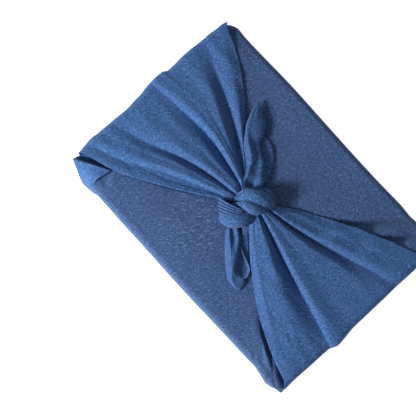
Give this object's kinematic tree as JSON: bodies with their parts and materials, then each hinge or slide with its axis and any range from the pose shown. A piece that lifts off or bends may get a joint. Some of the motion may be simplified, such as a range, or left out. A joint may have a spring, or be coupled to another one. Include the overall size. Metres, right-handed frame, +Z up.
{
  "type": "furoshiki wrap",
  "caption": "Blue cotton wrapping cloth folded round a flat box and carried by a central knot with two short free ears.",
  "frame": {"origin": "bottom centre of the wrapped parcel, on the surface it lies on", "axes": "+X along the long side, +Y along the short side, +Z up out of the knot"},
  "size_m": [0.3236, 0.2235, 0.071],
  "materials": {
    "cloth": "matt plain weave cotton"
  },
  "bodies": {
    "root": {"wrapping_cloth": "cloth"}
  },
  "joints": []
}
